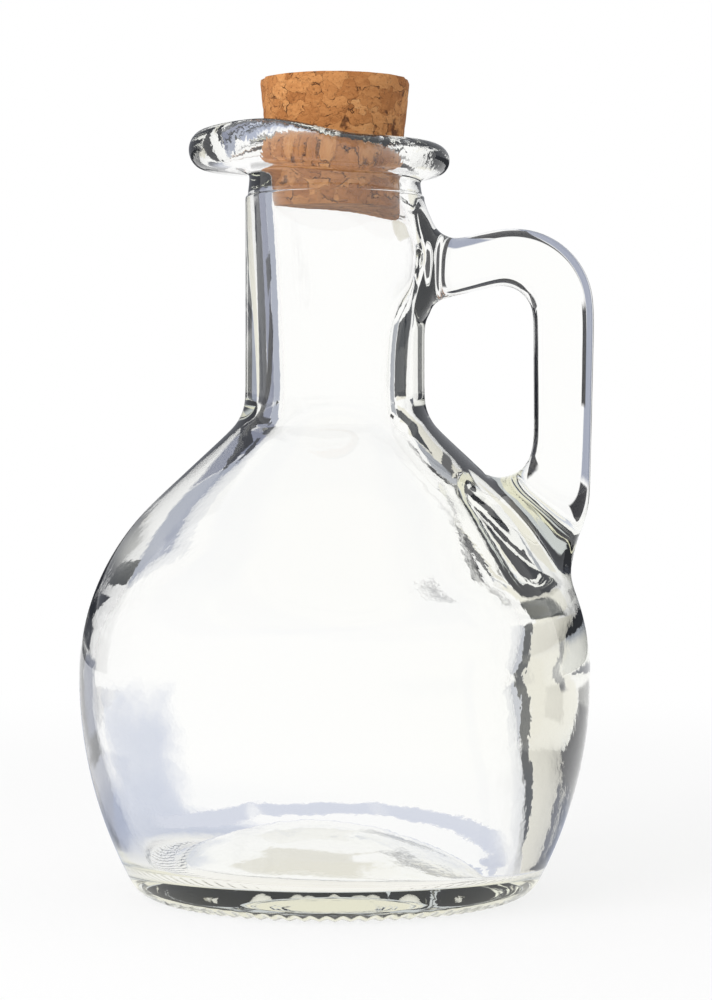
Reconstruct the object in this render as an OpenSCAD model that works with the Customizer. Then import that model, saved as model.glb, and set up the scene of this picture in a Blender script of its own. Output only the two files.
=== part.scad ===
// Glass oil bottle with a pouring lip, a solid glass handle and a cork stopper.
// Millimetres, +Z up. The origin is on the bottle's axis where it stands, the
// handle is on +X and the pouring lip points to -X.

/* [Body] */
// Largest outer radius of the body
belly_r = 43.4; // [41:0.1:46]
// Height of the largest radius
belly_z = 37.1; // [34:0.1:40]
// Radius of the long arc from the belly down to the heel
lower_arc_r = 73; // [68:1:82]
// Radius of the arc from the belly up to the shoulder
shoulder_arc_r = 40.6; // [38.5:0.1:42]
// Slope of the straight shoulder, measured from the vertical
shoulder_slope = 47; // [45:1:49]
// Radius of the hollow between the shoulder and the neck
neck_fillet_r = 8.2; // [6:0.1:10]
// Radius of the rounded heel
heel_r = 5.5; // [4:0.1:7]
// Width of the flat ring that the bottle stands on
foot_w = 2.6; // [1.5:0.1:4]
// Height of the domed hollow under the base
punt_h = 7; // [5.5:0.1:8]

/* [Neck] */
// Outer radius of the neck
neck_r = 15.2; // [14.8:0.1:16]
// Height of the small ledge that ends the neck
ledge_z = 118.4; // [116:0.1:122]
// Depth of the ledge
ledge_step = 0.4; // [0.2:0.1:0.8]
// Height of the ring between the ledge and the lip
finish_h = 2.7; // [2:0.1:4]

/* [Glass] */
// Wall at the belly
wall = 3; // [2.4:0.1:3.6]
// Wall at the shoulder
shoulder_wall = 6; // [5.4:0.1:6.6]
// Thickness of the floor over the standing ring
floor_t = 6; // [5:0.1:8]
// Rise of the domed floor to its middle
floor_rise = 7.5; // [6:0.1:9]
// Radius between the floor and the wall
floor_fillet_r = 4; // [3:0.1:6]
// Radius of the inner arc from the belly down to the floor
inner_lower_r = 60; // [55:1:66]
// Radius of the inner arc from the belly up to the shoulder
inner_shoulder_r = 30; // [28:0.5:32]
// Radius of the bore at the foot of the neck
throat_r = 8.8; // [8:0.1:9.6]
// Radius of the inner curve between the shoulder and the throat
throat_fillet_r = 10; // [8:0.1:12]
// Thickness of the glass on the handle side of the body
handle_side_t = 10.6; // [8:0.1:12]
// Radius of the inner wall on the handle side
handle_side_r = 38; // [37:0.5:44]
// Radius of the hollow in the bore behind the root of the arm
pocket_r = 8.5; // [7.5:0.1:9.5]
// Glass left between that hollow and the outside of the neck
pocket_wall = 0.8; // [0.6:0.1:1.5]

/* [Lip] */
// Reach of the lip from the axis, away from the spout
lip_r = 19.6; // [18.6:0.1:20.6]
// Further reach of the lip at the tip of the spout
spout_reach = 5.4; // [4:0.1:6.5]
// Height of the rolled lip
lip_h = 6.2; // [5:0.1:7]
// Thickness of the rolled lip from its top point to its nose
lip_roll = 3.2; // [2.6:0.1:3.6]
// Rise of the lip towards the spout
spout_rise = 3.4; // [2:0.1:4.5]
// Dip at the tip of the spout
spout_dip = 1; // [0:0.1:1.6]
// Sharpness of the spout in plan
spout_sharpness = 7; // [5:0.5:9]

/* [Handle] */
// Reach of the grip beyond the belly
grip_overhang = 0.6; // [0:0.1:2]
// Height of the top of the handle
handle_top_z = 113.2; // [112:0.1:114.5]
// Thickness of the grip seen from the side
strap_t = 10.5; // [9.6:0.1:11.2]
// Thickness of the arm that joins the neck
arm_t = 9.3; // [8.6:0.1:10]
// Width of the handle seen from the end
strap_w = 10; // [9:0.1:11]
// Upward slope of the arm from the neck
arm_slope = 14; // [11:1:16]
// Outer radius of the bend above the grip
bend_r = 13.6; // [12.5:0.1:15]
// Inner radius of the bend above the grip
inner_bend_r = 5.4; // [4:0.1:7]
// Lean of the grip towards the body at its foot
grip_lean = 0.9; // [0.2:0.1:1.4]

/* [Cork] */
// Length of the stopper
cork_h = 21.8; // [20:0.1:24]
// Radius of the lower end
cork_foot_r = 10.45; // [10.2:0.05:10.7]
// Radius of the upper end
cork_head_r = 12.75; // [12.4:0.05:13]
// Depth of the lower end below the ledge
cork_depth = 2.2; // [1.6:0.1:3]
// Chamfer around both ends
cork_chamfer = 0.4; // [0.2:0.1:0.8]

/* [Clearances] */
// Gap around the cork in its seat
seat_gap = 0.06; // [0.03:0.01:0.1]
// Gap between the cork and the foot of the lip
lip_gap = 0.6; // [0.45:0.05:0.8]

/* [Hidden] */
eps = 0.5;

// outer profile: every arc touches the next one
slope_dir = [-sin(shoulder_slope), cos(shoulder_slope)];
slope_normal = [cos(shoulder_slope), sin(shoulder_slope)];
shoulder_c = [belly_r - shoulder_arc_r, belly_z];
slope_start = shoulder_c + shoulder_arc_r * slope_normal;
slope_len = (slope_start.x - neck_r - neck_fillet_r * (1 - slope_normal.x)) / slope_normal.y;
slope_end = slope_start + slope_len * slope_dir;
neck_fillet_c = slope_end + neck_fillet_r * slope_normal;
lower_c = [belly_r - lower_arc_r, belly_z];
heel_c = [lower_c.x + sqrt(pow(lower_arc_r - heel_r, 2) - pow(belly_z - heel_r, 2)), heel_r];
heel_a = atan2(heel_c.y - lower_c.y, heel_c.x - lower_c.x);
foot_bevel = 1.5;
lip_z = ledge_z + finish_h;

// cavity profile
inner_belly_r = belly_r - wall;
inner_offset = slope_normal * slope_start - shoulder_wall;
inner_shoulder_x = inner_belly_r - inner_shoulder_r;
inner_belly_z = (inner_offset - inner_shoulder_r - slope_normal.x * inner_shoulder_x) / slope_normal.y;
inner_shoulder_c = [inner_shoulder_x, inner_belly_z];
inner_start = inner_shoulder_c + inner_shoulder_r * slope_normal;
inner_len = (inner_start.x - throat_r - throat_fillet_r * (1 - slope_normal.x)) / slope_normal.y;
throat_c = inner_start + inner_len * slope_dir + throat_fillet_r * slope_normal;
inner_lower_c = [inner_belly_r - inner_lower_r, inner_belly_z];
floor_reach = inner_lower_r - floor_fillet_r;
floor_drop = inner_belly_z - floor_t - floor_fillet_r;
floor_c = [inner_lower_c.x + sqrt(pow(floor_reach, 2) - pow(floor_drop, 2)), floor_t + floor_fillet_r];
floor_gutter = 2.5;
floor_a = atan2(floor_c.y - inner_lower_c.y, floor_c.x - inner_lower_c.x);

// cork and its seat
cork_z = ledge_z - cork_depth;
cork_taper = (cork_head_r - cork_foot_r) / cork_h;
function seat_r(z) = cork_foot_r + seat_gap + cork_taper * (z - cork_z);

// handle: the grip hangs from the arm and ends in the shoulder
grip_x = belly_r + grip_overhang;
bend_c = [grip_x - bend_r, handle_top_z - bend_r];
arm_dir = [cos(arm_slope), sin(arm_slope)];
arm_out = bend_c + bend_r * [-sin(arm_slope), cos(arm_slope)];
arm_in = arm_out + arm_t * [sin(arm_slope), -cos(arm_slope)];
root_r = neck_r - 2.7;
root_sink = 1.2;
root_flare = 0.3;
root_out_sink = 4.4;
root_out_a = 22;
root_out_drop = 2.6;
section_roundness = 0.72;

// the lip rises over this share of the turn towards the spout
rise_from = 0.3;
rise_span = 1.1;
lip_foot_lift = 0.4;
spout_foot_lift = 1.2;
funnel_lean = 0.7;
funnel_reach = 3.4;
funnel_depth = 0.4;
funnel_drop = 4.4;

// points of an arc from angle a to angle b
function arc(c, r, a, b, n) =
    [for (i = [0:n]) let (t = a + (b - a) * i / n) c + r * [cos(t), sin(t)]];

// points of a dome from its top at the axis down to radius r at height z
function dome(r, z, rise, n) = [for (i = [0:n]) let (t = i / n) [r * t, z + rise * (1 - t * t)]];

// point of the line through p along d where x has a given value
function at_x(p, d, x) = p + d * (x - p.x) / d.x;

// arc of n steps that rounds the corner b of the path a, b, c
function corner(a, b, c, r, n) =
    let (u = (a - b) / norm(a - b), v = (c - b) / norm(c - b))
    let (half = acos(u * v) / 2, m = (u + v) / norm(u + v))
    let (o = b + m * r / sin(half), s = b + u * r / tan(half), e = b + v * r / tan(half))
    let (a0 = atan2(s.y - o.y, s.x - o.x), turn = atan2(e.y - o.y, e.x - o.x) - a0)
    let (sweep = turn > 180 ? turn - 360 : turn < -180 ? turn + 360 : turn)
    arc(o, r, a0, a0 + sweep, n);

// closed skin over rings of points, all with the same number of points
module skin(rings, loop = false) {
    n = len(rings[0]);
    m = len(rings);
    last = loop ? m - 1 : m - 2;
    sides = [
        for (i = [0:last], j = [0:n - 1])
            let (k = (i + 1) % m, l = (j + 1) % n)
            each [[i * n + j, k * n + l, i * n + l], [i * n + j, k * n + j, k * n + l]]
    ];
    caps = loop ? [] : [[for (j = [0:n - 1]) j], [for (j = [n - 1:-1:0]) (m - 1) * n + j]];
    points = [for (ring = rings) each ring];
    polyhedron(points = points, faces = concat(sides, caps), convexity = 8);
}

module outer_glass() {
    rotate_extrude($fn = 96)
        polygon(concat(
            dome(heel_c.x - foot_w - foot_bevel, foot_bevel / 2, punt_h - foot_bevel / 2, 6),
            [[heel_c.x - foot_w, 0]],
            arc(heel_c, heel_r, -90, heel_a, 7),
            arc(lower_c, lower_arc_r, heel_a, 0, 8),
            arc(shoulder_c, shoulder_arc_r, 3, shoulder_slope, 11),
            arc(neck_fillet_c, neck_fillet_r, 180 + shoulder_slope, 180, 6),
            [
                [neck_r, ledge_z - ledge_step],
                [neck_r - ledge_step, ledge_z],
                [neck_r - ledge_step, lip_z],
                [0, lip_z]
            ]
        ));
}

// the space inside, from the floor to the mouth
module round_cavity() {
    rotate_extrude($fn = 96)
        polygon(concat(
            dome(floor_c.x - floor_gutter, floor_t, floor_rise, 6),
            arc(floor_c, floor_fillet_r, -90, floor_a, 6),
            arc(inner_lower_c, inner_lower_r, floor_a, 0, 6),
            arc(inner_shoulder_c, inner_shoulder_r, 5, shoulder_slope, 9),
            arc(throat_c, throat_fillet_r, 180 + shoulder_slope, 180, 6),
            [[seat_r(cork_z), cork_z], [seat_r(lip_z + eps), lip_z + eps], [0, lip_z + eps]]
        ));
}

// keeps the cavity away from the thick glass under the handle
module handle_side_limit() {
    limit_x = belly_r - handle_side_t;
    axis_x = limit_x - handle_side_r;
    shoulder_z = slope_end.y - 4;
    shoulder_x = neck_r + 1.5;
    translate([axis_x, 0, 0])
        rotate_extrude($fn = 96)
            polygon([
                [0, 0],
                [limit_x - axis_x, 0],
                [limit_x - axis_x, belly_z + 12],
                [limit_x - axis_x - 4, belly_z + 17],
                [shoulder_x - axis_x, shoulder_z - 5],
                [shoulder_x - axis_x, shoulder_z],
                [0, shoulder_z]
            ]);
    translate([0, 0, shoulder_z - eps])
        cylinder(r = shoulder_x, h = lip_z, $fn = 96);
}

module cavity() {
    intersection() {
        round_cavity();
        handle_side_limit();
    }
    translate([neck_r - pocket_wall - pocket_r, 0, arm_out.y - arm_t / 2])
        sphere(r = pocket_r, $fn = 64);
}

// one cross-section of the lip at angle a, with the spout at 180 degrees
function lip_section(a) =
    let (to_spout = (1 - cos(a)) / 2, tip = pow(to_spout, spout_sharpness))
    let (s = min(1, max(0, (rise_from - cos(a)) / rise_span)), rise = s * s * (3 - 2 * s))
    let (top = lip_z + lip_h + spout_rise * rise - spout_dip * tip)
    let (bottom = lip_z + lip_foot_lift + spout_foot_lift * rise, mid = (top + bottom) / 2)
    let (nose_r = lip_r + spout_reach * tip, roll_r = nose_r - lip_roll)
    let (inner_r = seat_r(lip_z) + lip_gap, outer_r = neck_r - 2 * ledge_step)
    let (guide = [inner_r + funnel_lean + funnel_reach * tip, top - funnel_depth - funnel_drop * tip])
    let (foot = [inner_r, lip_z - 2 * eps], crest = [roll_r, top])
    concat(
        [
            for (i = [0:5])
                let (t = i / 6)
                (1 - t) * (1 - t) * foot + 2 * t * (1 - t) * guide + t * t * crest
        ],
        [for (b = [90:-20:-90]) [roll_r + lip_roll * cos(b), mid + (top - bottom) / 2 * sin(b)]],
        [
            [(roll_r + 2 * outer_r) / 3, bottom - lip_foot_lift / 3],
            [outer_r, bottom - lip_foot_lift],
            [outer_r, lip_z - 2 * eps]
        ]
    );

module lip() {
    steps = 48;
    skin([
        for (i = [0:steps - 1])
            let (a = 360 * i / steps)
            [for (p = lip_section(a)) [p.x * cos(a), p.x * sin(a), p.y]]
    ], loop = true);
}

// solid handle, skinned between an outer and an inner rail in the XZ plane
module handle() {
    grip_out = [grip_x, bend_c.y];
    foot_out = [grip_x - grip_lean, slope_start.y - root_out_drop];
    sunk_out = shoulder_c + (shoulder_arc_r - root_out_sink) * [cos(root_out_a), sin(root_out_a)];
    arm_neck_out = at_x(arm_out, arm_dir, neck_r + 1.9);
    outer_path = [
        [root_r, arm_neck_out.y + 10],
        arm_neck_out,
        [grip_x + grip_lean / 3, at_x(arm_out, arm_dir, grip_x).y],
        foot_out,
        sunk_out
    ];
    inner_x = grip_x - strap_t;
    foot_x = inner_x - grip_lean / 2;
    foot_z = shoulder_c.y + sqrt(pow(shoulder_arc_r - 0.6, 2) - pow(foot_x - shoulder_c.x, 2));
    sunk_in = slope_start + 9 * slope_dir - root_sink * slope_normal;
    arm_neck_in = at_x(arm_in, arm_dir, neck_r + 1);
    inner_path = [
        [root_r, arm_neck_in.y - 3.4],
        arm_neck_in,
        [inner_x, at_x(arm_in, arm_dir, inner_x).y],
        [foot_x, foot_z],
        sunk_in
    ];
    function rail(p, r1, r2, r3) = concat(
        [p[0]],
        corner(p[0], p[1], p[2], r1, 5),
        corner(p[1], p[2], p[3], r2, 12),
        corner(p[2], p[3], p[4], r3, 8),
        [p[4]]
    );
    outer_rail = rail(outer_path, 4.6, bend_r, 20);
    inner_rail = rail(inner_path, 3, inner_bend_r, 5.8);
    last = len(outer_rail) - 1;
    function flat_round(c) = sign(c) * pow(abs(c), section_roundness);
    function flare(i) = root_flare * max(0, 4 - i, i - last + 4);
    skin([
        for (i = [0:last])
            let (o = outer_rail[i], q = inner_rail[i], mid = (o + q) / 2, half = (o - q) / 2)
            let (w = strap_w / 2 + flare(i))
            [
                for (a = [0:18:342])
                    let (p = mid + half * flat_round(cos(a)))
                    [p.x, -w * flat_round(sin(a)), p.y]
            ]
    ]);
}

// body, neck, lip and handle are one piece of pressed and blown glass
module bottle() {
    color([0.86, 0.92, 0.93, 0.45])
        difference() {
            union() {
                outer_glass();
                lip();
                handle();
            }
            cavity();
        }
}

// tapered stopper of pressed cork granules
module cork_stopper() {
    color([0.78, 0.56, 0.36])
        translate([0, 0, cork_z])
            rotate_extrude($fn = 96)
                polygon([
                    [0, 0],
                    [cork_foot_r - cork_chamfer, 0],
                    [cork_foot_r + cork_taper * cork_chamfer, cork_chamfer],
                    [cork_head_r - cork_taper * cork_chamfer, cork_h - cork_chamfer],
                    [cork_head_r - cork_chamfer, cork_h],
                    [0, cork_h]
                ]);
}

bottle();
cork_stopper();
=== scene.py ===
# Glass oil bottle with a cork stopper, dressed over its CAD frame. Metres, +Z up,
# handle on +X, spout on -X.
import math
import bmesh
import bpy
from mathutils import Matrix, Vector, noise


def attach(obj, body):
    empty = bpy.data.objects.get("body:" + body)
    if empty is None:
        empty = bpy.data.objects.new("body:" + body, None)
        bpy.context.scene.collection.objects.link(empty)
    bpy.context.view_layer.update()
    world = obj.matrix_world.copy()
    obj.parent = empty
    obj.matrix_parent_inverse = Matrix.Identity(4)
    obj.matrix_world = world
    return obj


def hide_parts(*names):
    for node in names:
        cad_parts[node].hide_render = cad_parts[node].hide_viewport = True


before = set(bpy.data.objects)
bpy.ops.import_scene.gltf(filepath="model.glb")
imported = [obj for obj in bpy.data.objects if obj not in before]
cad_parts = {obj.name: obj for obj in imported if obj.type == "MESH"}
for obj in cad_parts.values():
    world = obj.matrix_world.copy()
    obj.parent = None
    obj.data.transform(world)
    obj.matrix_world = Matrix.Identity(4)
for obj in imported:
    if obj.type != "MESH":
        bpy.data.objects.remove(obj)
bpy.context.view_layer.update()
mm = 0.001


def nothingSelected():
    if bpy.context.object and bpy.context.object.mode != "OBJECT":
        bpy.ops.object.mode_set(mode="OBJECT")
    bpy.ops.object.select_all(action="DESELECT")


def editPiece(piece):
    nothingSelected()
    bpy.context.view_layer.objects.active = piece
    piece.select_set(True)
    bpy.ops.object.mode_set(mode="EDIT")


def pickVerts(piece, test):
    # selects the vertices that pass the test, and the edges and faces between them
    bpy.ops.mesh.select_mode(type="VERT")
    bpy.ops.mesh.select_all(action="DESELECT")
    cage = bmesh.from_edit_mesh(piece.data)
    for vert in cage.verts:
        vert.select = bool(test(vert.co))
    cage.select_flush_mode()
    bmesh.update_edit_mesh(piece.data)


def movePicked(piece, place):
    # sets every selected vertex where place(co) says
    cage = bmesh.from_edit_mesh(piece.data)
    for vert in cage.verts:
        if vert.select:
            vert.co = place(vert.co)
    bmesh.update_edit_mesh(piece.data)


def arcPoints(centre, radius, start, end, steps):
    turns = [math.radians(start + (end - start) * i / steps) for i in range(steps + 1)]
    return [(centre[0] + radius * math.cos(a), centre[1] + radius * math.sin(a)) for a in turns]


def between(a, b, t):
    return a + (b - a) * t


def ease(low, high, x):
    t = min(1.0, max(0.0, (x - low) / (high - low)))
    return t * t * (3 - 2 * t)


def bell(x, centre, width):
    return math.exp(-((x - centre) / width) ** 2)


def roundCorner(a, b, c, radius, steps):
    # arc that rounds the corner b of the path a, b, c
    a, b, c = Vector(a), Vector(b), Vector(c)
    u, v = (a - b).normalized(), (c - b).normalized()
    half = math.acos(max(-1, min(1, u.dot(v)))) / 2
    centre = b + (u + v).normalized() * radius / math.sin(half)
    first = b + u * radius / math.tan(half) - centre
    last = b + v * radius / math.tan(half) - centre
    start = math.atan2(first.y, first.x)
    sweep = (math.atan2(last.y, last.x) - start + math.pi) % (2 * math.pi) - math.pi
    turns = [start + sweep * i / steps for i in range(steps + 1)]
    return [(centre.x + radius * math.cos(t), centre.y + radius * math.sin(t)) for t in turns]


bottleSettings = {
    "columns": 40,            # faces around the cage
    "bellyR": 43.4,           # millimetres from here on
    "bellyZ": 37.1,
    "lowerArcR": 73,
    "shoulderArcR": 40.6,
    "shoulderSlope": 47,      # degrees from the vertical
    "neckFilletR": 8.2,
    "heelR": 5.5,
    "footWidth": 2.6,
    "puntRise": 7.0,
    "neckR": 15.2,
    "ledgeZ": 118.4,
    "ledgeStep": 0.4,
    "finishHeight": 2.7,
    "wall": 3.0,
    "shoulderWall": 6.0,
    "floor": 6.0,
    "floorRise": 7.5,
    "floorFilletR": 4.0,
    "floorCrown": 1.08,       # rise of the quilts that close the floor and the punt
    "puntCrown": 1.27,
    "innerLowerR": 60,
    "innerShoulderR": 30,
    "throatR": 8.8,
    "throatFilletR": 10,
    "seatFootR": 10.51,
    "seatTaper": 0.1055,
    "seatZ": 116.2,
    "knurls": 80,
    "knurlDepth": 0.42,
    "knurlRadii": (24.6, 33.6),
    "knurlTop": 2.3,
    "smoothing": 2,
}

lipSettings = {
    "reach": 19.6,
    "spoutReach": 5.4,
    "height": 6.2,
    "roll": 3.2,
    "spoutRise": 3.4,
    "spoutDip": 1.0,
    "sharpness": 7,
}

# height and inner radius of the thick wavy glass on the handle side
handleSide = [(0, 31.2), (8, 31.8), (15, 33.2), (22, 33.8), (29, 33.2), (34, 32.1), (40, 33.4),
              (46, 33.4), (51, 31.2), (60.3, 24.0), (68, 18.0), (72, 16.9), (76, 14.8)]

handleSettings = {
    "gripX": 44.0,
    "topZ": 113.2,
    "gripThickness": 10.5,
    "armThickness": 9.3,
    "width": 10.0,
    "armSlope": 14,
    "bendR": 13.6,
    "innerBendR": 5.4,
    "boxiness": 0.72,         # lower is squarer
    "neckRows": (97.0, 117.3),
    "rootRows": (53.5, 72.5),
    "neckSpread": 27,         # degrees to each side that the handle opens
    "rootSpread": 18,
}


def glassProfile(s):
    # outer and inner section of the bottle in millimetres, as (radius, height)
    slope = math.radians(s["shoulderSlope"])
    along = Vector((-math.sin(slope), math.cos(slope)))
    normal = Vector((math.cos(slope), math.sin(slope)))
    shoulder = Vector((s["bellyR"] - s["shoulderArcR"], s["bellyZ"]))
    slopeStart = shoulder + s["shoulderArcR"] * normal
    run = (slopeStart.x + s["neckFilletR"] * normal.x - s["neckR"] - s["neckFilletR"]) / normal.y
    neckFillet = slopeStart + run * along + s["neckFilletR"] * normal
    lower = Vector((s["bellyR"] - s["lowerArcR"], s["bellyZ"]))
    heelX = lower.x + math.sqrt((s["lowerArcR"] - s["heelR"]) ** 2 - (s["bellyZ"] - s["heelR"]) ** 2)
    heelTurn = math.degrees(math.atan2(s["heelR"] - lower.y, heelX - lower.x))
    straight = [slopeStart + along * run * t for t in (0.33, 0.66)]
    hollowR = heelX - s["footWidth"] - 1.5
    outside = [(hollowR * t, 0.7 + (s["puntRise"] - 0.7) * (1 - t * t)) for t in (0.45, 0.64, 0.8, 0.92, 1)]
    outside += [(heelX - s["footWidth"], 0.12), (heelX - 1.3, 0)]
    outside += arcPoints((heelX, s["heelR"]), s["heelR"], -90, heelTurn, 5)
    outside += arcPoints(lower, s["lowerArcR"], heelTurn, 0, 7)[1:]
    outside += arcPoints(shoulder, s["shoulderArcR"], 0, 14, 3)[1:-1]
    outside += arcPoints(shoulder, s["shoulderArcR"], 14, s["shoulderSlope"], 6)
    outside += [(p.x, p.y) for p in straight]
    outside += arcPoints(neckFillet, s["neckFilletR"], 180 + s["shoulderSlope"], 180, 4)
    low, high = handleSettings["neckRows"]
    outside += [(s["neckR"], between(neckFillet.y, low, t)) for t in (0.33, 0.66)]
    outside += [(s["neckR"], between(low, high, i / 6)) for i in range(7)]
    outside += [(s["neckR"], s["ledgeZ"] - 0.45), (s["neckR"] - 0.06, s["ledgeZ"] - 0.1)]
    outside += [(s["neckR"] - s["ledgeStep"], s["ledgeZ"] + rise) for rise in (0, 0.3)]

    innerBellyR = s["bellyR"] - s["wall"]
    offset = normal.dot(slopeStart) - s["shoulderWall"]
    bellyZ = (offset - s["innerShoulderR"] - normal.x * (innerBellyR - s["innerShoulderR"])) / normal.y
    inShoulder = Vector((innerBellyR - s["innerShoulderR"], bellyZ))
    inStart = inShoulder + s["innerShoulderR"] * normal
    inRun = (inStart.x + s["throatFilletR"] * (normal.x - 1) - s["throatR"]) / normal.y
    throat = inStart + inRun * along + s["throatFilletR"] * normal
    inLower = Vector((innerBellyR - s["innerLowerR"], bellyZ))
    floorZ = s["floor"] + s["floorFilletR"]
    floorX = inLower.x + math.sqrt((s["innerLowerR"] - s["floorFilletR"]) ** 2 - (bellyZ - floorZ) ** 2)
    floorTurn = math.degrees(math.atan2(floorZ - inLower.y, floorX - inLower.x))
    seatTop = s["ledgeZ"] + s["finishHeight"] - 0.6
    inside = [(s["seatFootR"] + s["seatTaper"] * (z - s["seatZ"]), z) for z in (seatTop, 118.5, s["seatZ"])]
    inside += [(between(s["throatR"], s["seatFootR"], (1 - t) ** 1.7), between(s["seatZ"], throat.y, t))
               for t in (0.12, 0.24, 0.36, 0.48, 0.6, 0.72, 0.86)]
    inside += arcPoints(throat, s["throatFilletR"], 180, 180 + s["shoulderSlope"], 4)
    inside += [tuple(inStart + along * inRun * 0.5)]
    inside += arcPoints(inShoulder, s["innerShoulderR"], s["shoulderSlope"], 0, 8)
    inside += arcPoints(inLower, s["innerLowerR"], 0, floorTurn, 6)[1:]
    inside += arcPoints((floorX, floorZ), s["floorFilletR"], floorTurn, -90, 5)[1:]
    domeR = floorX - 2.5
    inside += [(domeR * t, s["floor"] + s["floorRise"] * (1 - t * t))
               for t in (0.98, 0.88, 0.72, 0.55, 0.38)]
    return outside, inside


def lipSection(angle):
    # crest, nose and underside of the lip at one angle, from the underside to the funnel
    s, b = lipSettings, bottleSettings
    lipZ = b["ledgeZ"] + b["finishHeight"]
    toSpout = (1 - math.cos(angle)) / 2
    tip = toSpout ** s["sharpness"]
    rise = ease(-0.3, 0.8, -math.cos(angle))
    top = lipZ + s["height"] + s["spoutRise"] * rise - s["spoutDip"] * tip
    bottom = lipZ + 0.4 + 1.2 * rise
    middle, half = (top + bottom) / 2, (top - bottom) / 2
    rollR = s["reach"] + s["spoutReach"] * tip - s["roll"]
    outerR = b["neckR"] - 2 * b["ledgeStep"]
    footR = b["seatFootR"] + b["seatTaper"] * (lipZ - b["seatZ"]) + 0.35
    guide = Vector((footR + 0.7 + 3.4 * tip, top - 0.4 - 4.4 * tip))
    foot, crest = Vector((footR, lipZ)), Vector((rollR, top))
    section = [(outerR, bottom - 0.9), (outerR + 0.35, bottom - 0.3)]
    section += [(between(outerR, rollR, 0.55), bottom - 0.05)]
    nose = [math.radians(degrees) for degrees in range(-90, 91, 30)]
    section += [(rollR + s["roll"] * math.cos(a), middle + half * math.sin(a)) for a in nose]
    for t in (0.85, 0.68, 0.5, 0.32, 0.14):
        p = foot * (1 - t) ** 2 + guide * 2 * t * (1 - t) + crest * t * t
        section.append((p.x, p.y))
    return section


def innerRadius(radius, z, angle):
    # thick wavy glass on the handle side, and the hollow that the arm drew out of the neck
    for (lowZ, lowR), (highZ, highR) in zip(handleSide, handleSide[1:]):
        if lowZ < z <= highZ:
            missing = max(0, radius - between(lowR, highR, (z - lowZ) / (highZ - lowZ)))
            radius -= missing * (0.5 + 0.5 * math.cos(angle)) ** 1.2
    side = math.exp(-(math.sin(angle / 2) / 0.42) ** 2)
    return radius + 5.6 * side * bell(z, 107.5, 6.2)


def closeWithGrid(piece, radius, z, rise, columns):
    # fills the round hole at this radius and height with a quilt of quads
    pickVerts(piece, lambda co: abs(co.z - z) < 0.02 * mm and abs(co.xy.length - radius) < 0.05 * mm)
    bpy.ops.mesh.fill_grid(span=columns // 4)
    movePicked(piece, lambda co: Vector((co.x, co.y, z + rise * (1 - (co.xy.length / radius) ** 2))))


def spinUpWalls(columns, outside, inside):
    # one skin: out from the punt, up the outside, over the lip and down the inside
    firstR, firstZ = outside[0]
    nothingSelected()
    bpy.ops.mesh.primitive_circle_add(vertices=columns, radius=firstR * mm, location=(0, 0, firstZ * mm))
    piece = bpy.context.object
    bpy.ops.object.transform_apply(location=True)
    bpy.ops.object.mode_set(mode="EDIT")
    bpy.ops.mesh.select_all(action="SELECT")
    lipRows = len(lipSection(0))
    rings = [lambda a, p=p: p for p in outside[1:]]
    rings += [lambda a, i=i: lipSection(a)[i] for i in range(lipRows)]
    rings += [lambda a, p=p: (innerRadius(p[0], p[1], a), p[1]) for p in inside]
    innerFrom = len(outside) + lipRows - 4
    group = piece.vertex_groups.new(name="inside")
    for count, ring in enumerate(rings):
        bpy.ops.mesh.extrude_region_move()

        def onRing(co):
            angle = math.atan2(co.y, co.x)
            radius, height = ring(angle)
            return Vector((radius * math.cos(angle), radius * math.sin(angle), height)) * mm

        movePicked(piece, onRing)
        if count >= innerFrom:
            bpy.ops.object.vertex_group_assign()
        else:
            bpy.ops.object.vertex_group_remove_from()
    bpy.ops.mesh.select_mode(type="VERT")
    return piece


def handleRails():
    # outer and inner edge of the handle seen from the side, from the neck to the shoulder
    h, b = handleSettings, bottleSettings
    slope = math.radians(h["armSlope"])
    bend = Vector((h["gripX"] - h["bendR"], h["topZ"] - h["bendR"]))
    armOut = bend + h["bendR"] * Vector((-math.sin(slope), math.cos(slope)))
    armIn = armOut + h["armThickness"] * Vector((math.sin(slope), -math.cos(slope)))

    def onArm(p, x):
        return (x, p.y + (x - p.x) * math.tan(slope))

    innerX = h["gripX"] - h["gripThickness"]
    outPath = [(15.6, 118.5), onArm(armOut, 16.9), onArm(armOut, h["gripX"] + 0.3)]
    outPath += [(43.1, 64.2), (36.3, 50.7)]
    inPath = [(15.6, 94.5), onArm(armIn, 16.2), onArm(armIn, innerX), (33.75, 63.4), (22.4, 73.4)]

    def rail(path, radii):
        # the three corners of the path, rounded, with points along the straights between them
        corners = [roundCorner(*path[i:i + 3], radii[i], steps) for i, steps in enumerate((3, 6, 4))]
        points = corners[0]
        for corner, spots in ((corners[1], (0.5,)), (corners[2], (0.25, 0.5, 0.75))):
            last, first = Vector(points[-1]), Vector(corner[0])
            points = points + [tuple(last.lerp(first, t)) for t in spots] + corner
        return points

    return rail(outPath, (4.2, h["bendR"], 20)), rail(inPath, (3.2, h["innerBendR"], 5.8))


def pickOpenEdges():
    bpy.ops.mesh.select_mode(type="EDGE")
    bpy.ops.mesh.select_all(action="DESELECT")
    bpy.ops.mesh.select_non_manifold(extend=False, use_wire=False, use_boundary=True,
                                     use_multi_face=False, use_non_contiguous=False, use_verts=False)


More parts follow.
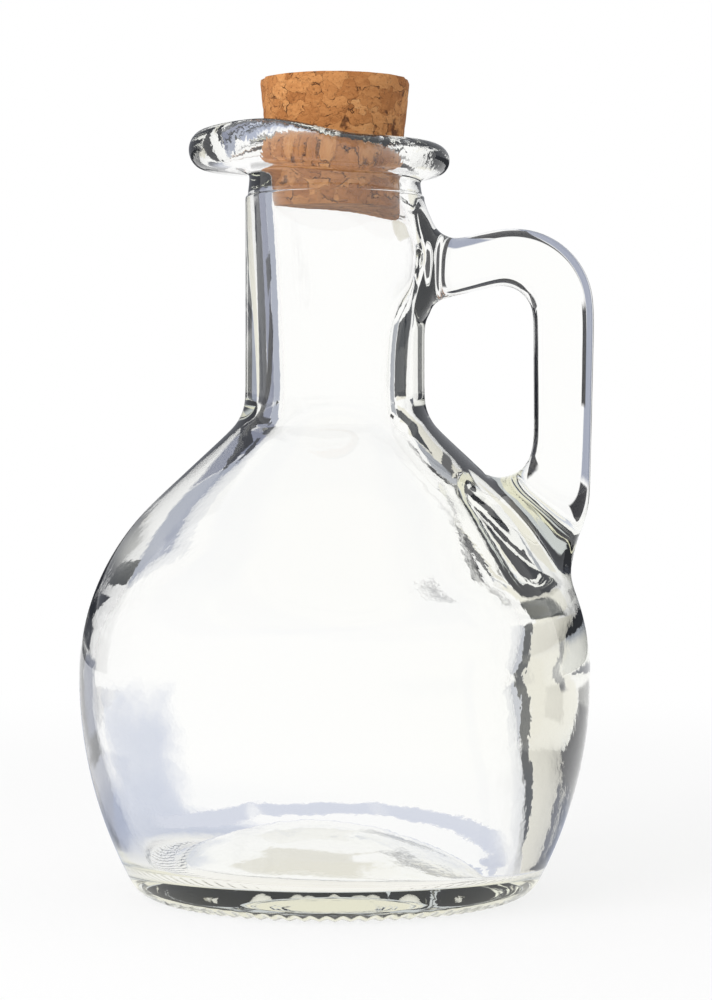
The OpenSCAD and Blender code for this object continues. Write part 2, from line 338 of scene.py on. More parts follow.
def growHandle(piece):
    # opens the neck and the shoulder, pulls the neck's opening along the handle and joins it
    # to the shoulder
    h = handleSettings
    outer, inner = handleRails()
    low, high = h["neckRows"]
    rootLow, rootHigh = h["rootRows"]

    def facesHandle(co, spread):
        return co.x > 0 and abs(math.degrees(math.atan2(co.y, co.x))) < spread

    def openFaces(test):
        bpy.ops.mesh.select_mode(type="FACE")
        bpy.ops.mesh.select_all(action="DESELECT")
        cage = bmesh.from_edit_mesh(piece.data)
        cage.normal_update()
        for face in cage.faces:
            face.select = test(face.calc_center_median())
        bmesh.update_edit_mesh(piece.data)
        bpy.ops.mesh.delete(type="FACE")

    openFaces(lambda c: facesHandle(c, h["neckSpread"]) and low * mm < c.z < high * mm
              and c.xy.length > (bottleSettings["neckR"] - 0.25) * mm)
    openFaces(lambda c: facesHandle(c, h["rootSpread"]) and rootLow * mm < c.z < rootHigh * mm
              and c.xy.length > (shoulderRadius(c.z / mm) - 1.6) * mm)
    pickOpenEdges()
    cage = bmesh.from_edit_mesh(piece.data)
    layer = cage.verts.layers.float.new("handleTurn")
    for edge in cage.edges:
        if edge.select and sum(v.co.z for v in edge.verts) / 2 < 90 * mm:
            edge.select = False
    cage.select_flush_mode()
    cage.verts.index_update()
    ring = [v for v in cage.verts if v.select]
    centreZ = (low + high) / 2 * mm
    order = {v.index: math.atan2(v.co.y, v.co.z - centreZ) for v in ring}
    ranked = sorted(order, key=order.get)
    start = min(range(len(ranked)), key=lambda i: abs(order[ranked[i]]))
    turn = {index: 2 * math.pi * (i - start) / len(ranked) for i, index in enumerate(ranked)}
    for v in ring:
        v[layer] = turn[v.index]
    bmesh.update_edit_mesh(piece.data)

    def squared(value):
        return math.copysign(abs(value) ** h["boxiness"], value)

    for i, (outEdge, inEdge) in enumerate(zip(outer, inner)):
        bpy.ops.mesh.extrude_region_move()
        middle = (Vector(outEdge) + Vector(inEdge)) / 2
        half = (Vector(outEdge) - Vector(inEdge)) / 2
        toRoot = len(outer) - 1 - i
        flare = 1.6 * max(0, 1 - i / 3) ** 2 + 1.8 * max(0, 1 - toRoot / 4) ** 2
        cage = bmesh.from_edit_mesh(piece.data)
        layer = cage.verts.layers.float["handleTurn"]
        for v in cage.verts:
            if v.select:
                flat = middle + half * squared(math.cos(v[layer]))
                side = (h["width"] / 2 + flare) * squared(math.sin(v[layer]))
                v.co = Vector((flat.x, side, flat.y)) * mm
        bmesh.update_edit_mesh(piece.data)
    pickOpenEdges()
    bpy.ops.mesh.bridge_edge_loops()


def shoulderRadius(z):
    # outer radius of the shoulder at a height, in millimetres
    s = bottleSettings
    slope = math.radians(s["shoulderSlope"])
    centreX = s["bellyR"] - s["shoulderArcR"]
    breakZ = s["bellyZ"] + s["shoulderArcR"] * math.sin(slope)
    breakX = centreX + s["shoulderArcR"] * math.cos(slope)
    if z > breakZ:
        return breakX - (z - breakZ) * math.tan(slope)
    return centreX + math.sqrt(s["shoulderArcR"] ** 2 - (z - s["bellyZ"]) ** 2)


def knurlFoot(piece):
    # radial notches around the ring that the bottle stands on
    s = bottleSettings
    low, high = s["knurlRadii"]
    editPiece(piece)
    bpy.ops.mesh.select_mode(type="EDGE")
    bpy.ops.mesh.select_all(action="DESELECT")
    cage = bmesh.from_edit_mesh(piece.data)
    for edge in cage.edges:
        a, b = edge.verts[0].co, edge.verts[1].co
        level = abs(a.z - b.z) < 0.05 * mm and abs(a.xy.length - b.xy.length) < 0.05 * mm
        inBand = low * mm < a.xy.length < high * mm and a.z < s["knurlTop"] * mm
        edge.select = level and inBand
    bmesh.update_edit_mesh(piece.data)
    bpy.ops.mesh.subdivide(number_cuts=1)
    cage = bmesh.from_edit_mesh(piece.data)
    for vert in cage.verts:
        r, z = vert.co.xy.length / mm, vert.co.z / mm
        if low < r < high + 0.6 and z < s["knurlTop"] + 0.3:
            angle = math.atan2(vert.co.y, vert.co.x)
            notch = 0.5 - 0.5 * math.cos(s["knurls"] * angle)
            band = ease(low + 0.6, low + 2.6, r) * (1 - ease(0.5, 2.2, z))
            vert.co.z += s["knurlDepth"] * notch * band * mm
    bmesh.update_edit_mesh(piece.data)
    bpy.ops.object.mode_set(mode="OBJECT")


def makeBottle():
    s = bottleSettings
    outside, inside = glassProfile(s)
    piece = spinUpWalls(s["columns"], outside, inside)
    for (radius, z), crown in ((inside[-1], s["floorCrown"]), (outside[0], s["puntCrown"])):
        closeWithGrid(piece, radius * mm, z * mm, crown * mm, s["columns"])
    growHandle(piece)
    bpy.ops.mesh.select_all(action="SELECT")
    bpy.ops.mesh.remove_doubles(threshold=0.01 * mm)
    bpy.ops.mesh.normals_make_consistent(inside=False)
    bpy.ops.object.mode_set(mode="OBJECT")
    # the smoothing pulls a ring in by this much
    swell = 6 / (4 + 2 * math.cos(2 * math.pi / s["columns"]))
    for vert in piece.data.vertices:
        vert.co.x *= swell
        vert.co.y *= swell
    smooth = piece.modifiers.new("smooth", "SUBSURF")
    smooth.levels = smooth.render_levels = s["smoothing"]
    bpy.ops.object.modifier_apply(modifier="smooth")
    knurlFoot(piece)
    markInside(piece)
    bpy.ops.object.shade_smooth()
    piece.name = piece.data.name = "bottle_glass"
    print("bottle:", len(piece.data.polygons), "faces")
    return piece


def markInside(piece):
    # turns the group into a number on each vertex, which the glass reads
    group = piece.vertex_groups["inside"].index
    weights = [next((g.weight for g in v.groups if g.group == group), 0.0) for v in piece.data.vertices]
    piece.vertex_groups.clear()
    piece.data.attributes.remove(piece.data.attributes["handleTurn"])
    mask = piece.data.attributes.new("inside", "FLOAT", "POINT")
    for index, weight in enumerate(weights):
        mask.data[index].value = weight


corkSettings = {
    "foot": 116.2,
    "height": 21.8,
    "footR": 10.45,
    "headR": 12.75,
    "columns": 96,
    "rows": 30,
    "capRings": 21,
    "capStep": 0.45,
    "roughness": 0.1,
    "edgeWear": 0.35,
}


def makeCork():
    s = corkSettings
    nothingSelected()
    bpy.ops.mesh.primitive_cone_add(vertices=s["columns"], radius1=s["footR"] * mm, radius2=s["headR"] * mm,
                                    depth=s["height"] * mm, end_fill_type="NGON",
                                    location=(0, 0, (s["foot"] + s["height"] / 2) * mm))
    piece = bpy.context.object
    bpy.ops.object.transform_apply(location=True)
    editPiece(piece)
    bpy.ops.mesh.select_mode(type="EDGE")
    bpy.ops.mesh.select_all(action="DESELECT")
    cage = bmesh.from_edit_mesh(piece.data)
    for edge in cage.edges:
        edge.select = abs(edge.verts[0].co.z - edge.verts[1].co.z) > 1 * mm
    bmesh.update_edit_mesh(piece.data)
    bpy.ops.mesh.subdivide(number_cuts=s["rows"] - 1)
    bpy.ops.mesh.select_all(action="DESELECT")
    bpy.ops.mesh.select_mode(type="FACE")
    cage = bmesh.from_edit_mesh(piece.data)
    for face in cage.faces:
        face.select = len(face.verts) > 8
    bmesh.update_edit_mesh(piece.data)
    for ring in range(s["capRings"]):
        bpy.ops.mesh.inset(thickness=s["capStep"] * mm)
    bpy.ops.mesh.poke()
    bpy.ops.object.mode_set(mode="OBJECT")
    roughenCork(piece)
    bpy.ops.object.shade_smooth_by_angle(angle=math.radians(50))
    piece.name = piece.data.name = "cork_granules"
    print("cork:", len(piece.data.polygons), "faces")
    return piece


def roughenCork(piece):
    # granules stand a little proud, and the rims are worn and chipped
    s = corkSettings
    low, high = s["foot"] * mm, (s["foot"] + s["height"]) * mm
    taper = (s["headR"] - s["footR"]) / s["height"]
    for vert in piece.data.vertices:
        co = vert.co
        height = (co.z - low) / mm
        rim = s["footR"] + taper * height
        radial = Vector((co.x, co.y, 0)).normalized()
        onSide = co.xy.length / mm > rim - 0.1
        nearest = noise.voronoi(co * 420)[0]
        crack = nearest[1] - nearest[0]
        dent = -s["roughness"] * (1 - min(1, crack * 4)) + 0.05 * noise.noise(co * 900)
        toRim = min(co.z - low, high - co.z) / mm
        chip = noise.noise(co * 330) + 0.6 * noise.noise(co * 800)
        if onSide:
            wear = s["edgeWear"] * math.exp(-toRim / 0.3) * (0.8 + chip)
            vert.co -= radial * max(0, wear) * mm
            vert.co += radial * min(0, dent) * mm
        else:
            edge = math.exp(-(rim - co.xy.length / mm) / 0.35)
            inward = 1 if co.z < (low + high) / 2 else -1
            wear = s["edgeWear"] * edge * (0.8 + chip)
            vert.co.z += inward * (max(0, wear) - min(0, dent)) * mm


class Wire:
    # a socket that can be used in sums
    def __init__(self, shading, socket):
        self.shading, self.socket = shading, socket

    def calc(self, operation, *others):
        return self.shading.add("Math", {"operation": operation}, dict(enumerate((self, *others))))

    def __add__(self, other):
        return self.calc("ADD", other)

    def __radd__(self, other):
        return self.calc("ADD", other)

    def __sub__(self, other):
        return self.calc("SUBTRACT", other)

    def __rsub__(self, other):
        return self.shading.add("Math", {"operation": "SUBTRACT"}, {0: other, 1: self})

    def __mul__(self, other):
        return self.calc("MULTIPLY", other)

    def __rmul__(self, other):
        return self.calc("MULTIPLY", other)


class Shading:
    # one node tree and the one way to add a node to it
    def __init__(self, owner):
        owner.use_nodes = True
        self.tree = owner.node_tree
        self.tree.nodes.clear()

    def add(self, kind, settings=None, inputs=None, output=0):
        node = self.tree.nodes.new("ShaderNode" + kind)
        for name, value in (settings or {}).items():
            if name == "stops":
                ramp = node.color_ramp
                while len(ramp.elements) < len(value):
                    ramp.elements.new(0.5)
                for element, (position, colour) in zip(ramp.elements, value):
                    element.position, element.color = position, (*colour, 1)
            else:
                setattr(node, name, value)
        for name, value in (inputs or {}).items():
            socket = node.inputs[name]
            if isinstance(value, Wire):
                self.tree.links.new(value.socket, socket)
            elif hasattr(socket.default_value, "__len__") and len(value) < len(socket.default_value):
                socket.default_value = (*value, 1)
            else:
                socket.default_value = value
        return Wire(self, node.outputs[output])

    def blend(self, amount, first, second):
        return self.add("Mix", {"data_type": "RGBA"}, {0: amount, 6: first, 7: second}, 2)

    def ramp(self, value, low, high):
        # eases from 0 at low to 1 at high
        limits = {"From Min": low, "From Max": high}
        return self.add("MapRange", {"interpolation_type": "SMOOTHSTEP"}, {"Value": value, **limits})

    def rise(self, value, limits):
        # the same between two places given in millimetres
        return self.ramp(value, limits[0] * mm, limits[1] * mm)

    def noise(self, place, scale, detail, roughness=0.5, output="Fac"):
        wanted = {"Vector": place, "Scale": scale, "Detail": detail, "Roughness": roughness}
        return self.add("TexNoise", {}, wanted, output)

    def finish(self, shader, kind="Material"):
        out = self.tree.nodes.new("ShaderNodeOutput" + kind)
        self.tree.links.new(shader.socket, out.inputs["Surface"])
        return out


glassLook = {
    "ripple": 0.35,           # heights of the coarse, middle and fine waves in the skin
    "grain": (0.006, 0.05, 0.05),   # everywhere, added inside, added on the lip
    "fine": (0.001, 0.007, 0.09),
    "relief": 0.35,           # millimetres
    "lipFrom": (121, 124),
    "trappedAfter": 3.5,      # reflections inside the wall before a ray gives up
    # painted light and shade that the glass glows with where trapped rays end, by place
    "heelTop": (20, 22),
    "heelBand": (8, 11),
    "heelPaintedLight": (0.86, 0.84, 0.75),
    "heelPaintedBlue": (0.60, 0.63, 0.70),
    "heelEnds": (29, 34),     # millimetres to either side
    "heelPaintedShade": (0.02, 0.02, 0.025),
    "wallPaintedShade": (0.03, 0.032, 0.038),
    "shoulderPaintedLight": (0.95, 0.95, 0.96),
    "shoulderSide": (-16, -22),
    "shoulderFrom": (55, 66),
    "shoulderTo": (110, 90),
    "tint": (0.96, 0.965, 0.90),
}


def clearGlass():
    look = glassLook
    material = bpy.data.materials.new("clear_glass")
    m = Shading(material)
    coords = m.add("TexCoord", output="Object")
    inside = m.add("Attribute", {"attribute_name": "inside"}, {}, "Fac")
    across, height = (m.add("SeparateXYZ", {}, {"Vector": coords}, axis) for axis in "XZ")
    lip = m.rise(height, look["lipFrom"])
    skin = m.noise(coords, 55, 1.5, 0.45) * look["ripple"]
    for scale, detail, name in ((420, 2, "grain"), (1300, 1, "fine")):
        plain, within, onLip = look[name]
        skin = skin + m.noise(coords, scale, detail) * (inside * within + lip * onLip + plain)
    bump = m.add("Bump", {}, {"Height": skin, "Strength": 1.0, "Distance": look["relief"] * mm}, "Normal")
    glass = m.add("BsdfPrincipled", {}, {
        "Base Color": (1.0, 1.0, 1.0),
        "Roughness": 0.0,
        "IOR": 1.5,
        "Transmission Weight": 1.0,
        "Normal": bump,
    })
    trapped = m.add("LightPath", output="Glossy Depth").calc("GREATER_THAN", look["trappedAfter"])
    # painted light and shade by place: a pale and blue heel band with dark ends, dark walls and a pale left
    # shoulder
    ends = m.rise(across.calc("ABSOLUTE"), look["heelEnds"])
    heel = m.blend(m.rise(height, look["heelBand"]), look["heelPaintedLight"], look["heelPaintedBlue"])
    heel = m.blend(ends, heel, look["heelPaintedShade"])
    shoulder = m.rise(across, look["shoulderSide"])
    shoulder = shoulder * m.rise(height, look["shoulderFrom"]) * m.rise(height, look["shoulderTo"])
    wall = m.blend(shoulder, look["wallPaintedShade"], look["shoulderPaintedLight"])
    tone = m.blend(m.rise(height, look["heelTop"]), heel, wall)
    paintedGlow = m.add("Emission", {}, {"Color": tone, "Strength": 1.0})  # painted light and shade: the glass glows with these tones where the trapped rays end
    settled = m.add("MixShader", {}, {0: trapped, 1: glass, 2: paintedGlow})
    shadow = m.add("LightPath", output="Is Shadow Ray")
    letThrough = m.add("BsdfTransparent", {}, {"Color": (0.96, 0.97, 0.96)})
    out = m.finish(m.add("MixShader", {}, {0: shadow * 0.9, 1: settled, 2: letThrough}))
    material.cycles.emission_sampling = "NONE"
    tint = m.add("VolumeAbsorption", {}, {"Color": look["tint"], "Density": 20.0})
    m.tree.links.new(tint.socket, out.inputs["Volume"])
    return material


corkLook = {
    "granules": [(0.0, (0.22, 0.075, 0.02)), (0.3, (0.42, 0.165, 0.05)),
                 (0.62, (0.58, 0.26, 0.09)), (1.0, (0.74, 0.40, 0.17))],
    "crack": (0.09, 0.03, 0.01),
    "hole": (0.07, 0.022, 0.008),
    "pit": (0.20, 0.075, 0.022),
}


def pressedCork():
    material = bpy.data.materials.new("pressed_cork")
    m = Shading(material)
    coords = m.add("TexCoord", output="Object")
    wobble = m.noise(coords, 330, 3, 0.6, "Color")
    shifted = m.add("VectorMath", {"operation": "MULTIPLY_ADD"}, {0: wobble, 1: (0.0045,) * 3, 2: coords})
    flat = m.add("VectorMath", {"operation": "MULTIPLY"}, {0: shifted, 1: (1.0, 1.0, 1.35)})
    cells = {"Vector": flat, "Scale": 300, "Randomness": 1.0}
    shade = m.add("TexVoronoi", {}, cells, "Color")
    gap = m.add("TexVoronoi", {"feature": "DISTANCE_TO_EDGE"}, cells, "Distance")
    tone, lean = (m.add("SeparateColor", {}, {"Color": shade}, name) for name in ("Red", "Green"))
    tilt = m.add("VectorMath", {"operation": "MULTIPLY_ADD"}, {0: shade, 1: (0.02,) * 3, 2: shifted})
    streakPlace = m.add("VectorMath", {"operation": "MULTIPLY"}, {0: tilt, 1: (1.0, 1.0, 3.4)})
    streak = m.noise(streakPlace, 620, 4, 0.7)
    speck = m.noise(coords, 1900, 3, 0.65)
    granule = tone * 0.45 + lean * 0.1 + streak * 0.85 - 0.24
    body = m.add("ValToRGB", {"stops": corkLook["granules"]}, {"Fac": granule}, "Color")
    crack = 1 - m.ramp(gap, 0.0, 0.05)
    broken = m.ramp(m.noise(coords, 500, 2), 0.5, 0.64)
    hole = m.ramp(m.noise(coords, 240, 3, 0.6), 0.62, 0.70)
    pit = m.ramp(speck, 0.58, 0.72)
    dark = m.blend(crack * (broken * 0.8 + 0.1), body, corkLook["crack"])
    holed = m.blend(hole * 0.8, dark, corkLook["hole"])
    colour = m.blend(pit * 0.45, holed, corkLook["pit"])
    height = streak * 0.35 - crack * (broken * 0.6 + 0.15) - hole * 0.9 - pit * 0.4
    bump = m.add("Bump", {}, {"Height": height, "Strength": 0.9, "Distance": 0.3 * mm}, "Normal")
    cork = m.add("BsdfPrincipled", {}, {
        "Base Color": colour,
        "Roughness": 0.86 - streak * 0.12,
        "IOR": 1.4,
        "Normal": bump,
    })
    m.finish(cork)
    return material


def dress(piece, material, body, node):
    piece.data.materials.clear()
    piece.data.materials.append(material)
    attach(piece, body)
    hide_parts(node)


studio = {
    "distance": 475.7,        # camera to the bottle's axis
    "eyeHeight": 75.6,
    "focal": 2798,            # pixels
    "axisPixel": (335.0, 448.7),
    "frame": (712, 1000),
    "worldStrength": 0.62,
    "keyPower": 6.0,
    "floorGlow": 0.72,
    "keySize": 0.5,           # metres from here on
    "keyPlace": (-0.55, -0.5, 0.6),
    "keyAim": (0, 0, 0.09),
    "domeHeight": 0.07,
    "domeReach": 0.95,
    "domeGap": 0.004,
    "flatGap": 0.0005,
    "ringScale": 8.5,         # metres from the axis times this give the place in the painted floor shadow
}

# painted shadow and light that only the glass sees on the floor, from the bottle outwards
paintedFloorShadow = [(0.0, (0.84, 0.82, 0.75)), (0.3, (0.95, 0.94, 0.9)), (0.42, (0.55, 0.59, 0.7)),
              (0.68, (0.62, 0.66, 0.77)), (0.9, (1.0, 1.0, 1.0))]

# colours of the painted reflections, light and shade that only the glass shows
paintedBlack = (0.015, 0.015, 0.02)
deepPaintedBlack = (0.012, 0.012, 0.015)
arcPaintedBlue = (0.66, 0.69, 0.79)
skinPaintedShade = (0.03, 0.032, 0.04)

# soft cards that only the glass shows, painted reflections of light and shade in it: degrees left of
# straight behind, degrees up, colour, edge softness, and the rays that meet them: straight through the
# wall, mirrored inside it, off its outer skin, deep after four passes, or any
cards = [
    ((3, 62), (-14, 4), skinPaintedShade, 0.05, "skin"),
    ((-6, -62), (-14, 9), skinPaintedShade, 0.05, "skin"),
    ((4, 62), (2, 52), (0.24, 0.25, 0.28), 0.06, "skin"),
    ((-6, -62), (6, 52), (0.40, 0.41, 0.44), 0.06, "skin"),
    ((-8, -47), (-30, 30), (0.86, 0.84, 0.75), 0.06, "mirrored"),
    ((-7, -17), (9, 21), (0.20, 0.20, 0.21), 0.20, "deep"),
    ((9, -9), (18, 33), (0.74, 0.72, 0.64), 0.10, "deep"),
]
# flat cards just over the floor, painted reflections in the glass: metres across, metres deep, colour, edge
# softness, rays
floorCards = [
    ((-0.50, -0.07), (0.10, 0.60), (0.09, 0.10, 0.13), 0.05, "mirrored"),
    ((-0.12, -0.04), (0.0, 0.12), (0.42, 0.46, 0.58), 0.06, "mirrored"),
]
# small upright cards close behind the glass, painted light and shade in it, in millimetres: depth, the
# corners' places across and up (low left, low right, high right, high left), colour, edge softness, rays
nearCards = [
    (62, (-62, -8), (-27, -8), (-27, 33), (-62, 33), (0.62, 0.66, 0.77), 0.22, "any"),
    # left shoulder
    (20, (-44, 61), (-37, 63), (-47, 81), (-61, 78), (0.06, 0.065, 0.065), 0.05, "mirrored"),
    (20, (-48, 51), (-41, 50), (-43, 58), (-57, 67), skinPaintedShade, 0.08, "mirrored"),
    (20, (-62, 44), (-44, 46), (-43, 53), (-56, 52), (0.10, 0.105, 0.12), 0.10, "mirrored"),
    (20, (-49, 26), (-38, 26), (-38, 44), (-49, 44), (0.02, 0.02, 0.025), 0.06, "mirrored"),
    (20, (-55, 20), (-48, 20), (-48, 45), (-55, 45), (0.08, 0.085, 0.095), 0.06, "mirrored"),
    (20, (-75, 20), (-54, 20), (-54, 45), (-75, 45), (0.27, 0.29, 0.36), 0.08, "mirrored"),
    (20, (-75, 13), (-50, 15), (-44, 25), (-75, 26), (0.13, 0.135, 0.145), 0.10, "mirrored"),
    (20, (-76, -14), (-34, -14), (-40, 19), (-76, 17), (0.41, 0.43, 0.50), 0.05, "mirrored"),
    (20, (-41, 94), (-13, 75), (-11, 79), (-35, 101), (0.04, 0.042, 0.05), 0.08, "mirrored"),
    (20, (-42, 101), (-29, 99), (-28, 106), (-42, 106), (0.08, 0.085, 0.10), 0.10, "mirrored"),
    # neck
    (20, (-21, 78), (-4, 78), (-17, 117), (-26, 118), (0.075, 0.08, 0.095), 0.06, "mirrored"),
    (20, (-37, 78), (-20, 78), (-25, 118), (-40, 118), (0.26, 0.28, 0.37), 0.06, "mirrored"),
    (20, (-64, 78), (-36, 78), (-39, 119), (-66, 119), (0.42, 0.45, 0.54), 0.06, "mirrored"),
    (20, (0, 108), (11, 103), (9, 107), (-6, 119), (0.05, 0.06, 0.05), 0.08, "mirrored"),
    (20, (15, 83), (42, 82), (42, 93), (14, 96), (0.045, 0.05, 0.055), 0.06, "mirrored"),
    (20, (42, 78), (64, 78), (64, 92), (42, 93), (0.40, 0.42, 0.46), 0.10, "mirrored"),
    (20, (-15, 78), (-6.5, 78), (-6.5, 105), (-15, 105), (0.07, 0.075, 0.085), 0.06, "straight"),
    (20, (6.5, 78), (15, 78), (15, 113), (6.5, 113), (0.05, 0.05, 0.055), 0.06, "straight"),
    # right side
    (20, (45, 44), (76, 54), (76, 70), (50, 63), (0.06, 0.065, 0.06), 0.08, "mirrored"),
    (20, (28, 69), (51, 81), (50, 84), (28, 72), (0.12, 0.12, 0.12), 0.12, "mirrored"),
    (20, (54, 97), (74, 99), (74, 111), (56, 108), paintedBlack, 0.08, "mirrored"),
    (30, (35, 31), (43, 31), (43, 40), (35, 40), deepPaintedBlack, 0.12, "mirrored"),
    (30, (47, 8), (57, 6), (55, 31), (49, 31), (0.20, 0.20, 0.21), 0.10, "mirrored"),
    (30, (94, 1), (112, 0), (112, 54), (90, 55), (0.11, 0.115, 0.12), 0.06, "mirrored"),
    (30, (110, 0), (150, -8), (150, 66), (110, 55), (0.58, 0.60, 0.66), 0.06, "mirrored"),
    (30, (42, 16), (96, 0), (92, 52), (42, 42), (0.84, 0.82, 0.74), 0.04, "mirrored"),
    (40, (16, 38), (29, 36), (29, 48), (16, 52), deepPaintedBlack, 0.10, "mirrored"),
    (45, (-40, -3), (-12, 8), (-12, 11.5), (-40, 3), arcPaintedBlue, 0.14, "deep"),
    (45, (-16, 7.5), (14, 11), (14, 13.8), (-16, 10.5), arcPaintedBlue, 0.14, "deep"),
    (45, (8, 11), (52, 8.5), (52, 12.5), (8, 13.8), arcPaintedBlue, 0.14, "deep"),
    # heel
    (50, (-70, -1), (-24, -1), (-24, 14), (-70, 14), deepPaintedBlack, 0.06, "mirrored"),
    (50, (24, -1), (70, -1), (70, 14), (24, 14), deepPaintedBlack, 0.06, "mirrored"),
    (50, (-27, -1), (27, -1), (27, 14), (-27, 14), (0.82, 0.80, 0.70), 0.04, "mirrored"),
    # handle
    (30, (30, 83), (34.5, 83), (35, 101), (31, 101), paintedBlack, 0.06, "straight"),
    (30, (16, 62), (34, 63), (33, 70), (18, 69), paintedBlack, 0.06, "straight"),
    (30, (8, 68), (33, 70), (31, 102), (12, 102), (0.33, 0.36, 0.46), 0.05, "straight"),
    (30, (61, 58), (150, 55), (150, 112), (64, 108), paintedBlack, 0.05, "straight"),
    (30, (36, 52), (150, 40), (150, 68), (46, 66), paintedBlack, 0.05, "straight"),
    (30, (58, 108), (150, 108), (150, 140), (50, 124), paintedBlack, 0.05, "straight"),
    (30, (4, 127), (60, 121), (60, 142), (8, 141), paintedBlack, 0.06, "straight"),
]


def raysSeen(m):
    # one for rays off or through the glass, and one for those and the camera's own
    camera, glossy, through = (m.add("LightPath", output=f"Is {kind} Ray")
                               for kind in ("Camera", "Glossy", "Transmission"))
    throughGlass = (glossy + through).calc("MINIMUM", 1.0)
    return throughGlass, (camera + throughGlass).calc("MINIMUM", 1.0)


def makeFloor():
    nothingSelected()
    bpy.ops.mesh.primitive_plane_add(size=8, location=(0, 0, 0))
    floor = bpy.context.object
    floor.name = "floor"
    material = bpy.data.materials.new("paper_floor")
    m = Shading(material)
    throughGlass, seen = raysSeen(m)
    matte = m.add("BsdfDiffuse", {}, {"Color": (0.93, 0.93, 0.93)})
    coords = m.add("TexCoord", output="Object")
    reach = m.add("VectorMath", {"operation": "LENGTH"}, {0: coords}, "Value")
    away = m.ramp(reach, 0.1, 0.4)
    # painted shadow: through the glass the floor glows in shaded rings around the bottle
    shade = m.add("ValToRGB", {"stops": paintedFloorShadow}, {"Fac": reach * studio["ringScale"]}, "Color")
    colour = m.blend(throughGlass, (1.0, 1.0, 1.0), shade)
    glow = m.add("Emission", {}, {"Color": colour, "Strength": 1.0})
    solid = away * (1 - studio["floorGlow"]) + studio["floorGlow"]
    solid = (solid + throughGlass * 0.5).calc("MINIMUM", 1.0)
    m.finish(m.add("MixShader", {}, {0: seen * solid, 1: matte, 2: glow}))
    material.cycles.emission_sampling = "NONE"
    floor.data.materials.append(material)


def makeCard(name, colour, soft, kind, place):
    # a grid bent into place, bright by itself, fading out towards its edges: a painted reflection that only
    # the glass shows
    nothingSelected()
    bpy.ops.mesh.primitive_grid_add(x_subdivisions=12, y_subdivisions=6, size=1)
    card = bpy.context.object
    card.name = name
    for vert in card.data.vertices:
        vert.co = Vector(place(vert.co.x + 0.5, vert.co.y + 0.5))
    material = bpy.data.materials.new(name)
    m = Shading(material)
    uv = m.add("TexCoord", output="UV")
    u, v = (m.add("SeparateXYZ", {}, {"Vector": uv}, axis) for axis in "XY")
    # noise that frays the edge of the painted reflection
    wear = m.noise(m.add("TexCoord", output="Object"), 160, 3)
    edge = (u * (1 - u)).calc("MINIMUM", v * (1 - v)) + (wear - 0.5) * soft
    cover = m.ramp(edge, 0.0, soft)
    passes = m.add("LightPath", output="Transmission Depth")
    bounces = m.add("LightPath", output="Glossy Depth")
    if kind in ("straight", "mirrored"):
        met = bounces.calc("LESS_THAN" if kind == "straight" else "GREATER_THAN", 0.5)
        cover = cover * met * passes.calc("LESS_THAN", 3.5) * passes.calc("GREATER_THAN", 0.5)
    if kind == "skin":
        cover = cover * passes.calc("LESS_THAN", 0.5)
    if kind == "deep":
        cover = cover * passes.calc("GREATER_THAN", 3.5)
    glow = m.add("Emission", {}, {"Color": colour, "Strength": 1.0})
    m.finish(m.add("MixShader", {}, {0: cover, 1: m.add("BsdfTransparent", {}, {}), 2: glow}))
    material.cycles.emission_sampling = "NONE"
    card.data.materials.append(material)
    card.visible_camera = card.visible_diffuse = card.visible_shadow = False


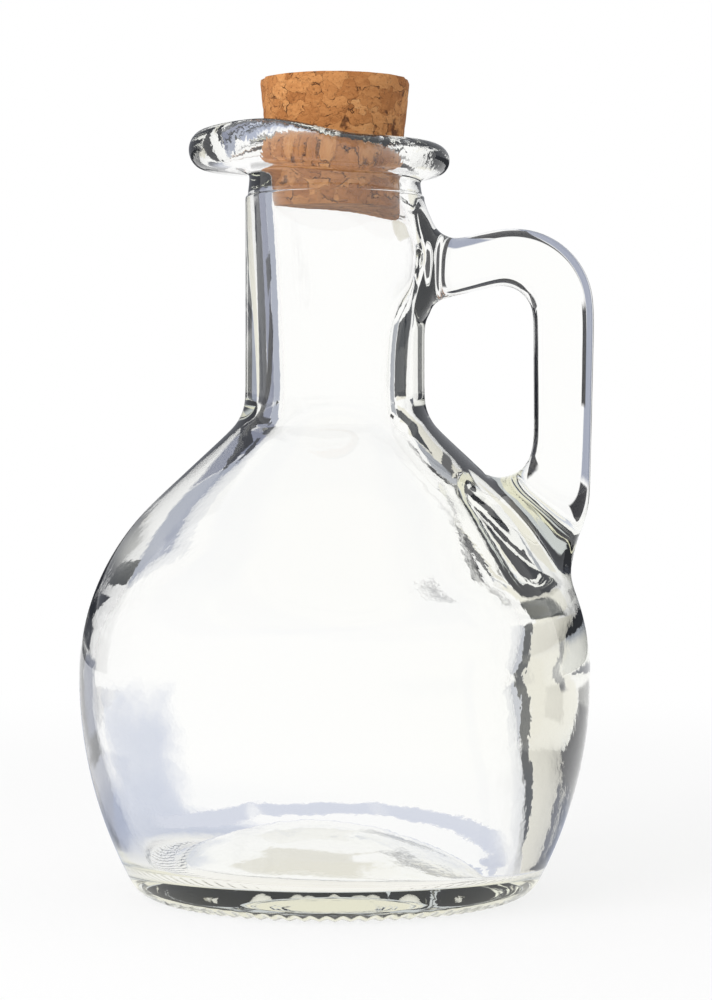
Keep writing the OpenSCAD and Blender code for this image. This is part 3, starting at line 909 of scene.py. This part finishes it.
def makeCards():
    s = studio

    def onDome(azimuths, heights, reach):
        def place(u, v):
            turn, up = math.radians(between(*azimuths, u)), math.radians(between(*heights, v))
            flat = reach * math.cos(up)
            return -flat * math.sin(turn), flat * math.cos(turn), s["domeHeight"] + reach * math.sin(up)

        return place

    def onFloor(across, deep, height):
        return lambda u, v: (between(*across, u), between(*deep, v), height)

    def onPlane(depth, corners):
        lowLeft, lowRight, highRight, highLeft = (Vector(c) for c in corners)

        def place(u, v):
            spot = lowLeft.lerp(lowRight, u).lerp(highLeft.lerp(highRight, u), v)
            return spot.x * mm, depth * mm, spot.y * mm

        return place

    for number, (azimuths, heights, colour, soft, kind) in enumerate(cards):
        reach = s["domeReach"] - s["domeGap"] * number
        makeCard(f"card_{number}", colour, soft, kind, onDome(azimuths, heights, reach))
    for number, (across, deep, colour, soft, kind) in enumerate(floorCards):
        height = s["flatGap"] * (number + 1)
        makeCard(f"card_flat_{number}", colour, soft, kind, onFloor(across, deep, height))
    for number, (depth, *corners, colour, soft, kind) in enumerate(nearCards):
        depth += 0.05 * number  # the first ones stand in front
        makeCard(f"card_near_{number}", colour, soft, kind, onPlane(depth, corners))


def makeWorld():
    world = bpy.data.worlds.new("studio")
    bpy.context.scene.world = world
    m = Shading(world)
    throughGlass, seen = raysSeen(m)
    light = m.add("Background", {}, {"Color": (1.0, 1.0, 1.0), "Strength": studio["worldStrength"]})
    white = m.add("Background", {}, {"Color": (1.0, 1.0, 1.0), "Strength": 1.0})
    m.finish(m.add("MixShader", {}, {0: seen, 1: light, 2: white}), "World")


def makeLights():
    lamp = bpy.data.lights.new("key", "AREA")
    lamp.shape = "SQUARE"
    lamp.energy, lamp.size = studio["keyPower"], studio["keySize"]
    key = bpy.data.objects.new("key", lamp)
    bpy.context.scene.collection.objects.link(key)
    key.location = studio["keyPlace"]
    aim = Vector(studio["keyAim"]) - key.location
    key.rotation_euler = aim.to_track_quat("-Z", "Y").to_euler()
    key.visible_camera = key.visible_glossy = key.visible_transmission = False


def makeCamera():
    s = studio
    data = bpy.data.cameras.new("camera")
    camera = bpy.data.objects.new("camera", data)
    bpy.context.scene.collection.objects.link(camera)
    width, height = s["frame"]
    data.sensor_width = 36.0
    data.lens = s["focal"] * data.sensor_width / height
    right = (width / 2 - s["axisPixel"][0]) / s["focal"]
    down = (height / 2 - s["axisPixel"][1]) / s["focal"]
    camera.location = (0, -s["distance"] * mm, s["eyeHeight"] * mm)
    camera.rotation_euler = Vector((right, 1, -down)).to_track_quat("-Z", "Y").to_euler()
    data.clip_start, data.clip_end = 0.01, 50
    bpy.context.scene.camera = camera


glass = makeBottle()
cork = makeCork()
dress(glass, clearGlass(), "glass_bottle", "bottle")
dress(cork, pressedCork(), "cork", "cork_stopper")
print("pieces dressed")
makeFloor()
makeCards()
makeWorld()
makeLights()
makeCamera()
bpy.context.scene.view_settings.view_transform = "Standard"
print("studio ready")
